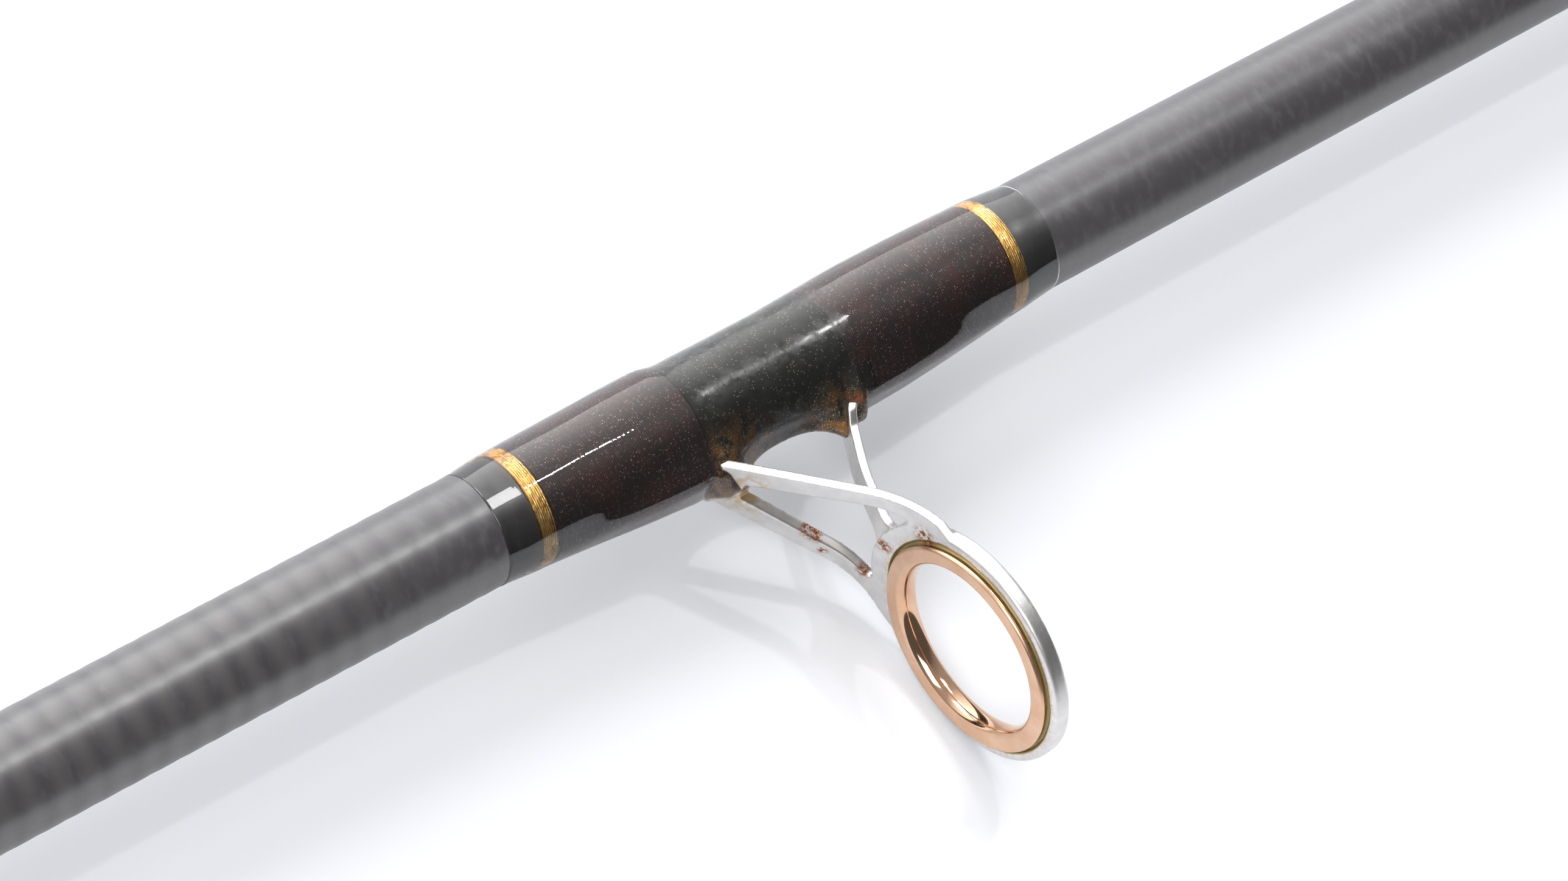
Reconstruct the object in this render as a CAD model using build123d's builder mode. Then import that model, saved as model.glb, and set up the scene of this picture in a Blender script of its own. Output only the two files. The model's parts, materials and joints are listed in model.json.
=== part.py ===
from build123d import *
import os
from math import cos, radians, sin, sqrt

# A two-piece spinning rod that lies along +X, tip away from the origin, with its line guides
# facing -Y. The origin is the centre of the butt cap's end face. Millimetres throughout.

os.makedirs("parts", exist_ok=True)

# --- Driving dimensions -------------------------------------------------------------------

# Blank: two tubes on one axis, joined by a spigot
butt_blank_end = 1222.0
joint_gap = 3.0
tip_end = 2437.0
butt_radius = 6.90
stripper_radius = 6.50
ferrule_radius = 5.70
tip_radius = 1.25
spigot_radius = 4.20
spigot_depth = 75.0
spigot_reach = 72.0
glue_gap = 0.02
slip_gap = 0.04

# Guides: stations along the rod and nominal ring sizes
stripper_station = 975.0
double_foot = {"second": (1540.0, 16.0), "third": (1830.0, 12.0)}
single_foot = {"fourth": (2030.0, 10.0), "fifth": (2190.0, 8.0), "sixth": (2325.0, 8.0)}

# Handle
grip_radius = 14.1
cap_length = 26.0
rear_grip_end = 330.0
seat_start = 336.0
seat_end = 470.0
foregrip_end = 566.0
seat_radius = 11.0
seat_bore = 9.2
hood_radius = 13.6
hood_length = 26.0
hood_gap = 0.06
foot_width = 17.6
foot_height = 5.6
thread_pitch = 2.0
thread_depth = 0.7
thread_start = 392.0
nut_length = 14.0

# Metal fixtures and windings
sheet = 1.2
thread_build = 0.30
coat_build = 0.16
ring_tilt = -2.9


# --- Shared helpers -----------------------------------------------------------------------

def blank_radius(x):
    """Outer radius of the blank at station x: a slow taper, then a faster one to the tip."""
    stations = [0.0, stripper_station, butt_blank_end, tip_end]
    radii = [butt_radius, stripper_radius, ferrule_radius, tip_radius]
    for a, b, ra, rb in zip(stations, stations[1:], radii, radii[1:]):
        if x <= b:
            return ra + (rb - ra) * (x - a) / (b - a)
    return tip_radius


def turned(points):
    """A round piece: the closed outline (x, radius) turned about the rod's axis."""
    with BuildPart() as piece:
        with BuildSketch(Plane.XY):
            with BuildLine():
                Polyline(*points, close=True)
            make_face()
        revolve(axis=Axis.X)
    return piece


def winding(start, end, build):
    """A band of thread wound straight onto the blank."""
    inner_a = blank_radius(start)
    inner_b = blank_radius(end)
    edge = min(build, 0.12)
    return turned([
        (start, inner_a),
        (start, inner_a + build - edge),
        (start + edge, inner_a + build),
        (end - edge, inner_b + build),
        (end, inner_b + build - edge),
        (end, inner_b),
    ])


def blank_core(start, end):
    """The blank's own solid shape from start to end, for cutting what sits on it."""
    bends = [x for x in (stripper_station, butt_blank_end) if start < x < end]
    outline = [(x, blank_radius(x)) for x in (start, *bends, end)]
    return turned([(start, 0), *outline, (end, 0)]).part


def finish(piece, label):
    """Name a piece and write its file."""
    piece.part.label = label
    export_step(piece.part, f"parts/{label}.step")


def largest(piece):
    """Keep the main solid when a trim leaves slivers behind."""
    return max(piece.solids(), key=lambda solid: solid.volume)


# --- Blank --------------------------------------------------------------------------------

with BuildPart() as butt_blank:
    with BuildSketch(Plane.XY):
        with BuildLine():
            Polyline(
                (3.0, 5.0),
                (3.0, blank_radius(3.0)),
                (stripper_station, stripper_radius),
                (butt_blank_end, ferrule_radius),
                (butt_blank_end, spigot_radius + glue_gap),
                (butt_blank_end - spigot_depth - 2, spigot_radius + glue_gap),
                close=True,
            )
        make_face()
    revolve(axis=Axis.X)
finish(butt_blank, "butt_blank")

spigot_start = butt_blank_end - spigot_depth
spigot_end = butt_blank_end + spigot_reach
spigot = turned([
    (spigot_start, 0),
    (spigot_start, spigot_radius - 0.5),
    (spigot_start + 0.5, spigot_radius),
    (spigot_end - 1.0, spigot_radius),
    (spigot_end, spigot_radius - 1.0),
    (spigot_end, 0),
])
finish(spigot, "ferrule_spigot")

tip_start = butt_blank_end + joint_gap
socket_end = spigot_end + 3.0
hollow_end = tip_end - 120.0
tip_blank = turned([
    (tip_start, spigot_radius + slip_gap),
    (tip_start, blank_radius(tip_start)),
    (tip_end, tip_radius),
    (tip_end, 0),
    (hollow_end, 0),
    (hollow_end, 0.4),
    (socket_end, spigot_radius - 0.6),
    (socket_end, spigot_radius + slip_gap),
])
finish(tip_blank, "tip_blank")

# Hoop windings and metallic trims that stop the joint from splitting
hoop_length = 42.0
trim_length = 2.0
hoops = {
    "butt_ferrule": (butt_blank_end - hoop_length, butt_blank_end - hoop_length - trim_length),
    "tip_ferrule": (tip_start, tip_start + hoop_length),
}
for name, (hoop_start, trim_start) in hoops.items():
    hoop = winding(hoop_start, hoop_start + hoop_length, thread_build + coat_build)
    finish(hoop, f"{name}_winding")
    trim = winding(trim_start, trim_start + trim_length, thread_build + 0.05)
    finish(trim, f"{name}_trim")


# --- Handle -------------------------------------------------------------------------------

butt_cap = turned([
    (0, 0),
    (0, grip_radius - 3.0),
    (1.0, grip_radius - 1.0),
    (3.0, grip_radius),
    (cap_length, grip_radius),
    (cap_length, butt_radius + glue_gap),
    (2.8, butt_radius + glue_gap),
    (2.8, 0),
])
finish(butt_cap, "butt_cap")

ring_width = 3.0
butt_ring = turned([
    (cap_length, butt_radius + glue_gap),
    (cap_length, grip_radius - 0.3),
    (cap_length + 0.4, grip_radius),
    (cap_length + ring_width - 0.4, grip_radius),
    (cap_length + ring_width, grip_radius - 0.3),
    (cap_length + ring_width, butt_radius + glue_gap),
])
finish(butt_ring, "butt_trim_ring")

with BuildPart() as rear_grip:
    with BuildSketch(Plane.XY):
        with BuildLine():
            grip_start = cap_length + ring_width
            edge = Line((grip_start, butt_radius + glue_gap), (grip_start, grip_radius - 0.5))
            lip = Line(edge @ 1, (grip_start + 0.5, grip_radius))
            barrel = Line(lip @ 1, (rear_grip_end - 60, grip_radius))
            nose = Spline(
                barrel @ 1,
                (rear_grip_end - 25, grip_radius - 1.5),
                (rear_grip_end, seat_radius + 1.2),
                tangents=((1, 0), (1, -0.04)),
            )
            Polyline(nose @ 1, (rear_grip_end, butt_radius + glue_gap), edge @ 0)
        make_face()
    revolve(axis=Axis.X)
finish(rear_grip, "rear_grip")

rear_check = turned([
    (rear_grip_end, butt_radius + glue_gap),
    (rear_grip_end, seat_radius + 0.9),
    (rear_grip_end + 1, seat_radius + 1.3),
    (seat_start - 1, seat_radius + 1.3),
    (seat_start, seat_radius + 0.9),
    (seat_start, butt_radius + glue_gap),
])
finish(rear_check, "rear_winding_check")

# Bushes that carry the seat's tube on the thinner blank
arbor_length = 22.0
arbor_starts = [seat_start + 2, (seat_start + seat_end - arbor_length) / 2, seat_end - 24]
with BuildPart() as arbors:
    for x in arbor_starts:
        with BuildSketch(Plane.YZ.offset(x)):
            Circle(seat_bore - glue_gap)
            Circle(butt_radius + glue_gap, mode=Mode.SUBTRACT)
        extrude(amount=arbor_length)
finish(arbors, "seat_arbors")

# Reel seat: a tube with a thread of shallow rings and a key slot along its back
key_width = 2.4
key_depth = 1.0
with BuildPart() as seat:
    with BuildSketch(Plane.YZ.offset(seat_start)):
        Circle(seat_radius)
        Circle(seat_bore, mode=Mode.SUBTRACT)
    extrude(amount=seat_end - seat_start)
    groove_count = int((seat_end - 4 - thread_start) / thread_pitch)
    with BuildSketch(Plane.XY):
        with Locations(*[(thread_start + n * thread_pitch, seat_radius) for n in range(groove_count)]):
            Polygon((-0.65, 0.05), (0.65, 0.05), (0.15, -thread_depth), (-0.15, -thread_depth), align=None)
    revolve(axis=Axis.X, mode=Mode.SUBTRACT)
    with BuildSketch(Plane.YZ.offset(seat_start + hood_length)):
        with Locations((seat_radius, 0)):
            Rectangle(2 * key_depth, key_width)
    extrude(amount=seat_end - seat_start - hood_length, mode=Mode.SUBTRACT)
finish(seat, "reel_seat_tube")


def hood(start, mouth, bore, key):
    """A collar with a pocket for one end of a reel's foot; mouth is +1 or -1 along X."""
    closed = 4.0
    liner = 1.0
    roof = seat_radius + foot_height + liner
    end = start + hood_length
    pocket_start = start + closed if mouth > 0 else start
    with BuildPart() as shell:
        with BuildSketch(Plane.YZ.offset(start)):
            Circle(hood_radius)
            with Locations((-roof / 2, 0)):
                Rectangle(roof + 2 * sheet, foot_width + 2 * sheet)
            make_hull()
        extrude(amount=hood_length)
        rims = shell.edges().filter_by(Plane.YZ)
        chamfer(rims, 0.6)
        with BuildSketch(Plane.YZ.offset(start)):
            Circle(bore)
        extrude(amount=hood_length, mode=Mode.SUBTRACT)
        with BuildSketch(Plane.YZ.offset(pocket_start)):
            with Locations((-roof / 2, 0)):
                Rectangle(roof, foot_width)
        extrude(amount=hood_length - closed, mode=Mode.SUBTRACT)
        if key:
            with BuildSketch(Plane.YZ.offset(start)):
                with Locations((seat_radius, 0)):
                    Rectangle(2 * key_depth - 0.4, key_width - 0.3)
                Circle(bore - key_depth + 0.15, mode=Mode.SUBTRACT)
            extrude(amount=hood_length)
    with BuildPart() as pad:
        with BuildSketch(Plane.YZ.offset(pocket_start + 0.3 * (mouth < 0))):
            with Locations((-roof + liner / 2, 0)):
                Rectangle(liner, foot_width - 0.1)
        extrude(amount=hood_length - closed - 0.3)
        fillet(pad.edges().filter_by(Axis.Z).group_by(Axis.Y)[-1], 0.3)
    return shell, pad


fixed_hood, fixed_pad = hood(seat_start, 1, seat_radius, False)
finish(fixed_hood, "fixed_hood")
finish(fixed_pad, "fixed_hood_pad")

slide_start = seat_end - 4 - nut_length - hood_length
sliding_hood, sliding_pad = hood(slide_start, -1, seat_radius + hood_gap, True)
finish(sliding_hood, "sliding_hood")
finish(sliding_pad, "sliding_hood_pad")

knurl_count = 36
nut_start = slide_start + hood_length + 0.3
with BuildPart() as nut:
    with BuildSketch(Plane.YZ.offset(nut_start)):
        Circle(hood_radius)
    extrude(amount=nut_length - 0.6)
    chamfer(nut.edges().filter_by(GeomType.CIRCLE), 0.6)
    with BuildSketch(Plane.YZ.offset(nut_start)):
        Circle(seat_radius + hood_gap)
    extrude(amount=nut_length, mode=Mode.SUBTRACT)
    with BuildSketch(Plane.YZ.offset(nut_start + 2.5)):
        with PolarLocations(hood_radius + 0.3, knurl_count):
            Rectangle(1.2, 1.1, rotation=45)
    extrude(amount=nut_length - 5.6, mode=Mode.SUBTRACT)
finish(nut, "locking_nut")

mid_check = turned([
    (seat_end, blank_radius(seat_end) + glue_gap),
    (seat_end, seat_radius + 1.3),
    (seat_end + 1, seat_radius + 1.7),
    (seat_end + 5, seat_radius + 1.7),
    (seat_end + 6, seat_radius + 1.3),
    (seat_end + 6, blank_radius(seat_end) + glue_gap),
])
finish(mid_check, "middle_winding_check")

foregrip_start = seat_end + 6
fore_nose = 9.6
with BuildPart() as foregrip:
    with BuildSketch(Plane.XY):
        with BuildLine():
            inner = butt_radius + glue_gap
            rise = Line((foregrip_start, inner), (foregrip_start, seat_radius + 1.4))
            back = Spline(
                rise @ 1,
                (foregrip_start + 30, grip_radius - 0.4),
                (foregrip_end, fore_nose),
                tangents=((1, 0.12), (1, -0.05)),
            )
            Polyline(back @ 1, (foregrip_end, inner), rise @ 0)
        make_face()
    revolve(axis=Axis.X)
finish(foregrip, "foregrip")

check_end = foregrip_end + 9
front_check = turned([
    (foregrip_end, butt_radius + glue_gap),
    (foregrip_end, fore_nose - 0.2),
    (foregrip_end + 1, fore_nose + 0.2),
    (foregrip_end + 3, fore_nose),
    (check_end, butt_radius + 0.7),
    (check_end, butt_radius + glue_gap),
])
finish(front_check, "front_winding_check")

handle_wrap = winding(check_end, check_end + 26, thread_build + coat_build)
finish(handle_wrap, "handle_winding")
handle_trim = winding(check_end + 26, check_end + 28, thread_build + 0.05)
finish(handle_trim, "handle_trim")

# Hook keeper: a bent wire held down at both ends by thread
keeper_start = check_end + 40
keeper_length = 26.0
keeper_wire = 0.55
keeper_base = blank_radius(keeper_start) + keeper_wire
keeper_rise = 5.4
with BuildPart() as keeper:
    with BuildLine(Plane.XY):
        FilletPolyline(
            (keeper_start, keeper_base),
            (keeper_start + 9, keeper_base),
            (keeper_start + 10, keeper_base + keeper_rise),
            (keeper_start + 16, keeper_base + keeper_rise),
            (keeper_start + 17, keeper_base),
            (keeper_start + keeper_length, keeper_base),
            radius=1.6,
        )
    with BuildSketch(Plane.YZ.offset(keeper_start)):
        with Locations((keeper_base, 0)):
            Circle(keeper_wire)
    sweep()
finish(keeper, "hook_keeper")


def covered_winding(start, end, build, lifts, half_width, facing):
    """Thread over a metal foot, lofted between hulls of the blank and the foot.

    lifts are the foot's heights at the two ends; facing is +1 or -1 along Y.
    """
    core = blank_core(start - 1, end + 1)
    with BuildPart() as band:
        for x, lift in zip((start, end), lifts):
            reach = blank_radius(x) + build + lift
            with BuildSketch(Plane.YZ.offset(x)):
                Circle(blank_radius(x) + build)
                with Locations((facing * reach / 2, 0)):
                    Rectangle(reach, 2 * half_width)
                make_hull()
        loft(ruled=True)
        add(core, mode=Mode.SUBTRACT)
    return band


wrap_length = 8.0
wire_lifts = (2 * keeper_wire, 2 * keeper_wire)
keeper_bands = []
for x in (keeper_start - 0.5, keeper_start + keeper_length - wrap_length + 0.5):
    band = covered_winding(x, x + wrap_length, thread_build, wire_lifts, 0.6, 1)
    keeper_bands.append(largest(band.part - keeper.part))
with BuildPart() as keeper_windings:
    add(keeper_bands)
finish(keeper_windings, "keeper_windings")


# --- Line guides --------------------------------------------------------------------------

# Sizes of a nominal 25 ring; other sizes scale from it
full_ring = 25.0
ring_rise = 30.92
foot_sink = 0.12
rim_radius = 14.1
seat_hole = 12.05
butt_foot = 28.0
tip_foot = 27.0
leg_start = 11.86
leg_lean = 0.872
web_drop = 14.83
corner_drop = 12.93
corner_half = 7.93
foot_tip = 0.30


def guide_place(station, size):
    """Scale, foot height, side plane and ring plane of a guide at a station."""
    k = size / full_ring
    base = blank_radius(station - butt_foot * k) - foot_sink
    t = 0.45 + (sheet - 0.45) * k
    bend_x = -leg_start * k + leg_lean * ((ring_rise - web_drop) * k - t)
    centre = (station + bend_x, -(base + ring_rise * k), 0)
    normal = (cos(radians(ring_tilt)), -sin(radians(ring_tilt)), 0)
    side = Plane(origin=(station, 0, 0), x_dir=(1, 0, 0), z_dir=(0, 0, -1))
    ring_side = Plane(origin=centre, x_dir=normal, z_dir=(0, 0, -1))
    return k, base, t, bend_x, side, ring_side


def guide_brace(station, size):
    """The tongue bent out of the leg opening, down to the foot on the tip side."""
    k, base, t, bend_x, side, _ = guide_place(station, size)
    front = Plane(origin=(station, 0, 0), x_dir=(0, 0, -1), z_dir=(-1, 0, 0))
    half = 1.5 * k
    flare = 3.6 * k
    with BuildPart() as brace:
        with BuildSketch(side):
            with BuildLine():
                FilletPolyline(
                    (tip_foot * k, base + t),
                    (7.1 * k, base + t),
                    (3.95 * k, base + 8.7 * k),
                    (bend_x + 0.95 * k, base + 16.9 * k),
                    radius=(2.5 * k, 20 * k),
                )
                offset(amount=0.9 * t, side=Side.LEFT)
            make_face()
        extrude(amount=6 * k, both=True)
        with BuildSketch(front):
            with BuildLine():
                left = Line((-2.2 * k, base - 1), (-2.2 * k, base + 2.2 * k))
                step_l = Line(left @ 1, (-half, base + 3.6 * k))
                rise_l = Line(step_l @ 1, (-half, base + 13.6 * k))
                arc_l = TangentArc(rise_l @ 1, (-flare, base + 16.4 * k), tangent=(0, 1))
                top = Line(arc_l @ 1, (flare, base + 16.4 * k))
                arc_r = TangentArc((half, base + 13.6 * k), top @ 1, tangent=(0, 1))
                rise_r = Line(arc_r @ 0, (half, base + 3.6 * k))
                step_r = Line(rise_r @ 1, (2.2 * k, base + 2.2 * k))
                Polyline(step_r @ 1, (2.2 * k, base - 1), left @ 0)
            make_face()
        extrude(amount=40 * k, both=True, mode=Mode.INTERSECT)
    return brace


def guide_frame(station, size, braced):
    """A stamped sheet frame: forked legs from the butt-side foot to a turned ring rim."""
    k, base, t, bend_x, side, ring_side = guide_place(station, size)
    rise = ring_rise * k
    front = Plane(origin=(station, 0, 0), x_dir=(0, 0, -1), z_dir=(-1, 0, 0))
    plan = Plane(origin=(station, -base, 0), x_dir=(1, 0, 0), z_dir=(0, -1, 0))
    ring_axis = Axis(ring_side.origin, ring_side.x_dir)
    brace = guide_brace(station, size) if braced else None
    core = blank_core(station - 30 * k, station + 30 * k)
    with BuildSketch(front) as window:
        with BuildLine():
            low = (1.45 * k, base + 3.7 * k)
            high = (corner_half * k, base + rise - corner_drop * k)
            crown = sqrt(corner_half**2 + corner_drop**2) * k
            Line(low, high)
            ThreePointArc(high, (0, base + rise - crown), (-high[0], high[1]))
            Line((-high[0], high[1]), (-low[0], low[1]))
            Line((-low[0], low[1]), low)
        make_face()
        fillet(window.vertices(), 0.55 * k)
    with BuildPart() as frame:
        with BuildSketch(side):
            with BuildLine():
                FilletPolyline(
                    (-butt_foot * k, base + t),
                    (-leg_start * k, base + t),
                    (bend_x + 0.06 * k, base + rise - web_drop * k),
                    (bend_x + 1.53 * k, base + rise + 14.2 * k),
                    radius=(2.6 * k, 13 * k),
                )
                offset(amount=t, side=Side.RIGHT)
            make_face()
        extrude(amount=16 * k, both=True)
        with BuildSketch(front):
            with Locations((0, base + rise)):
                Circle((seat_hole - 1.0) * k)
            with Locations((0, base + 0.95 * k)):
                Rectangle(6.5 * k, 2.3 * k)
            with Locations((-10.1 * k, base + rise - 10.6 * k), (10.1 * k, base + rise - 10.6 * k)):
                Circle(0.9 * k)
            make_hull()
        extrude(amount=40 * k, both=True, mode=Mode.INTERSECT)
        extrude(window.sketch, amount=40 * k, both=True, mode=Mode.SUBTRACT)
        if braced:
            add(brace.part)
        # Turned rim, the hole for the insert and the glue groove round it
        with BuildSketch(ring_side):
            with BuildLine():
                Polyline(
                    (0.71 * k, seat_hole * k),
                    (0.71 * k, 13.6 * k),
                    (0.86 * k, 13.95 * k),
                    (1.21 * k, rim_radius * k),
                    (1.3 * k + t, rim_radius * k),
                    (1.5 * k + t, 13.9 * k),
                    (1.5 * k + t, 13.3 * k),
                    (0.92 * k + t, 13.0 * k),
                    (0.92 * k + t, seat_hole * k),
                    close=True,
                )
            make_face()
        revolve(axis=ring_axis)
        with BuildSketch(ring_side):
            with Locations((2 * k, seat_hole * k / 2)):
                Rectangle(12 * k, seat_hole * k)
            Polygon(
                (0.5 * k, 12.4 * k),
                (1.15 * k, 12.5 * k),
                (1.15 * k, 12.85 * k),
                (0.5 * k, 12.95 * k),
                align=None,
            )
        revolve(axis=ring_axis, mode=Mode.SUBTRACT)
        # Feet ground down to thin, narrow ends
        with BuildSketch(side):
            Polygon(
                (-29 * k, base + foot_tip * k),
                (-butt_foot * k, base + foot_tip * k),
                (-13.5 * k, base + t + 0.02),
                (-29 * k, base + t + 0.02),
                align=None,
            )
            if braced:
                Polygon(
                    (28 * k, base + foot_tip * k),
                    (tip_foot * k, base + foot_tip * k),
                    (11 * k, base + t + 0.02),
                    (28 * k, base + t + 0.02),
                    align=None,
                )
        extrude(amount=4 * k, both=True, mode=Mode.SUBTRACT)
        with BuildSketch(plan):
            with BuildLine():
                Polyline(
                    (-29 * k, 1.0 * k),
                    (-15 * k, 2.3 * k),
                    (-11.8 * k, 3.1 * k),
                    (-11.8 * k, 5.0 * k),
                    (-29 * k, 5.0 * k),
                    close=True,
                )
            make_face()
            if braced:
                Polygon(
                    (28 * k, 1.0 * k),
                    (15 * k, 2.25 * k),
                    (28 * k, 2.25 * k),
                    align=None,
                )
            mirror(about=Plane.XZ)
        extrude(amount=4 * k, both=True, mode=Mode.SUBTRACT)
        # Undersides of the feet hollowed to sit on the blank
        add(core, mode=Mode.SUBTRACT)
    return frame


def guide_insert(ring_side, k):
    """The polished ring: a flat flange in front and a rounded bore for the line."""
    with BuildPart() as insert:
        with BuildSketch(ring_side):
            with BuildLine():
                bore = ThreePointArc((0, 11.0 * k), (1.4 * k, 10.0 * k), (2.8 * k, 11.0 * k))
                Polyline(
                    bore @ 1,
                    (2.8 * k, 11.7 * k),
                    (2.5 * k, 12.0 * k),
                    (0.7 * k, 12.0 * k),
                    (0.7 * k, 12.5 * k),
                    (0.2 * k, 12.5 * k),
                    (0, 12.3 * k),
                    bore @ 0,
                )
            make_face()
        revolve(axis=Axis(ring_side.origin, ring_side.x_dir))
    return insert


def clear_coat(station, k, spans, covers, tools):
    """Varnish: a turned skin (x, build), the covers over the feet, less what it buries."""
    skin = turned(
        [(station + x * k, blank_radius(station + x * k) + build) for x, build in spans]
        + [(station + x * k, 0) for x in (spans[-1][0], spans[0][0])]
    )
    core = blank_core(station + spans[0][0] * k - 1, station + spans[-1][0] * k + 1)
    with BuildPart() as coat:
        add(skin.part)
        for cover in covers:
            add(cover.part)
        add(core, mode=Mode.SUBTRACT)
        for tool in tools:
            add(tool, mode=Mode.SUBTRACT)
    return coat


def guide_windings(station, k, frame, ends):
    """Thread over each foot; ends are (start, end, lift at start, lift at end) by scale."""
    bands = []
    for start, end, lift_a, lift_b in ends:
        band = covered_winding(
            station + start * k, station + end * k, thread_build, (lift_a, lift_b), 2.0 * k, -1
        )
        bands.append(largest(band.part - frame.part))
    return bands


def guide_epoxy(station, k, t, frame, wound, both_feet):
    """The clear coat over a guide's windings, with a fillet where the metal leaves it."""
    thick = thread_build + coat_build
    covers = [
        covered_winding(
            station - 33 * k, station - 11.0 * k, thick, (0.02, t + 0.1), 2.0 * k + coat_build, -1
        )
    ]
    spans = [(-37.6, 0.04), (-35.0, thick), (-12.0, thick), (-10.5, 0.2)]
    if both_feet:
        covers.append(
            covered_winding(
                station + 9.0 * k, station + 31.4 * k, thick, (t + 0.1, 0.02), 2.0 * k + coat_build, -1
            )
        )
        spans += [(8.0, 0.2), (9.6, thick), (32.6, thick), (34.6, 0.04)]
    else:
        spans += [(-8.0, 0.04)]
    return clear_coat(station, k, spans, covers, [frame.part, *wound])


def build_guide(name, station, size, braced, split):
    """All pieces of one guide; split keeps the two ends' windings and trims apart."""
    k, _, t, _, _, ring_side = guide_place(station, size)
    frame = guide_frame(station, size, braced)
    finish(frame, f"{name}_frame")
    finish(guide_insert(ring_side, k), f"{name}_ring")
    ends = [(-32.1, -12.2, 0.05, t + 0.05)]
    trims = [winding(station - 34.1 * k, station - 32.15 * k, thread_build)]
    if braced:
        ends.append((10.0, 30.4, t + 0.05, 0.05))
        trims.append(winding(station + 30.45 * k, station + 32.2 * k, thread_build))
    bands = guide_windings(station, k, frame, ends)
    wound = bands + [trim.part for trim in trims]
    epoxy = guide_epoxy(station, k, t, frame, wound, braced)
    if split:
        for end, band, trim in zip(("butt", "tip"), bands, trims):
            with BuildPart() as single:
                add(band)
            finish(single, f"{name}_{end}_winding")
            finish(trim, f"{name}_{end}_trim")
    else:
        with BuildPart() as grouped:
            add(bands)
        finish(grouped, f"{name}_windings" if braced else f"{name}_winding")
        if braced:
            with BuildPart() as grouped_trims:
                add([trim.part for trim in trims])
            finish(grouped_trims, f"{name}_trims")
    finish(epoxy, f"{name}_epoxy")


build_guide("stripper_guide", stripper_station, full_ring, True, True)
for name, (station, size) in double_foot.items():
    build_guide(f"{name}_guide", station, size, True, False)
for name, (station, size) in single_foot.items():
    build_guide(f"{name}_guide", station, size, False, False)


# --- Tip-top ------------------------------------------------------------------------------

tube_length = 15.0
tube_start = tip_end - tube_length + 1
tube_bore = blank_radius(tube_start) + glue_gap
tube_radius = tube_bore + 0.45
tip_tube = turned([
    (tube_start, tube_bore),
    (tube_start, tube_radius - 0.15),
    (tube_start + 0.4, tube_radius),
    (tip_end + 0.6, tube_radius),
    (tip_end + 1.0, tube_radius - 0.3),
    (tip_end + 1.0, 0),
    (tip_end + 0.2, 0),
    (tip_end + 0.2, tube_bore),
])
finish(tip_tube, "tip_top_tube")

tip_k = 8.0 / full_ring
tip_lean = radians(28)
plate_height = 5.4
plate_up = (sin(tip_lean), -cos(tip_lean), 0)
plate_normal = (cos(tip_lean), sin(tip_lean), 0)
plate_foot = (tip_end - 3.5, -tube_radius, 0)
tip_centre = tuple(a + plate_height * b for a, b in zip(plate_foot, plate_up))
tip_ring_side = Plane(origin=tip_centre, x_dir=plate_normal, z_dir=(0, 0, -1))
rim_front = 0.86 * tip_k
plate_origin = tuple(a + rim_front * b for a, b in zip(tip_centre, plate_normal))
plate_plane = Plane(origin=plate_origin, x_dir=(0, 0, -1), z_dir=tuple(-c for c in plate_normal))
tip_axis = Axis(tip_centre, plate_normal)
with BuildPart() as tip_frame:
    with BuildSketch(plate_plane):
        Circle(rim_radius * tip_k)
        with Locations((0, -plate_height - 0.6)):
            Rectangle(2.6, 1.6)
        make_hull()
    extrude(amount=-0.8)
    with BuildSketch(tip_ring_side):
        with BuildLine():
            Polyline(
                (rim_front - 0.03, seat_hole * tip_k),
                (rim_front - 0.03, 13.6 * tip_k),
                (rim_front + 0.15, rim_radius * tip_k),
                (rim_front + 0.9, rim_radius * tip_k),
                (rim_front + 0.9, seat_hole * tip_k),
                close=True,
            )
        make_face()
    revolve(axis=tip_axis)
    with BuildSketch(tip_ring_side):
        with Locations((2 * tip_k, seat_hole * tip_k / 2)):
            Rectangle(14 * tip_k, seat_hole * tip_k)
    revolve(axis=tip_axis, mode=Mode.SUBTRACT)
    with BuildSketch(Plane.YZ.offset(tube_start)):
        Circle(tube_radius + glue_gap)
    extrude(amount=tube_length + 6, mode=Mode.SUBTRACT)
finish(tip_frame, "tip_top_frame")
finish(guide_insert(tip_ring_side, tip_k), "tip_top_ring")

tip_wrap = winding(tube_start - 7.0, tube_start - 0.02, thread_build)
finish(tip_wrap, "tip_top_winding")
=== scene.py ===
import json
import math

import bmesh
import bpy
import numpy as np
from mathutils import Matrix, Vector


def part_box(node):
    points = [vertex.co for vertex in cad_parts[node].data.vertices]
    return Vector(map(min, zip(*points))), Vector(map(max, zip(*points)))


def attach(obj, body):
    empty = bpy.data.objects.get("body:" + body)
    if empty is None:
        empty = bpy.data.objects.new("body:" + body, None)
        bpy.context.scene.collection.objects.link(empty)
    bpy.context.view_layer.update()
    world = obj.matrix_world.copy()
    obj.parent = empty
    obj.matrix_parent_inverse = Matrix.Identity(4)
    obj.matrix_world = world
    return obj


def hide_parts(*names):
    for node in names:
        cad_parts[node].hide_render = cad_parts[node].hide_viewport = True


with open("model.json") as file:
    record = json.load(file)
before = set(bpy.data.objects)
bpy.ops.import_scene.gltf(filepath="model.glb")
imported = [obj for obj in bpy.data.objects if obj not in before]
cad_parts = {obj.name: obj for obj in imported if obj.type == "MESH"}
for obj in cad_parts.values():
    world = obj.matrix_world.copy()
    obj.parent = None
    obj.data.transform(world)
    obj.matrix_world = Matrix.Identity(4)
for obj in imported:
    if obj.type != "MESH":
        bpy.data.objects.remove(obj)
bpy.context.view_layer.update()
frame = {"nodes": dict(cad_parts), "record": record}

# A two-piece spinning rod lying on its side: +X to the tip, guides facing -Y, +Z up.
# Shapes are worked out in millimetres and made in metres.
MM = 0.001
NODE_SLOT = {part["node"]: part["material_slot"] for part in frame["record"]["subparts"]}
random = np.random.default_rng(353)

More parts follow.
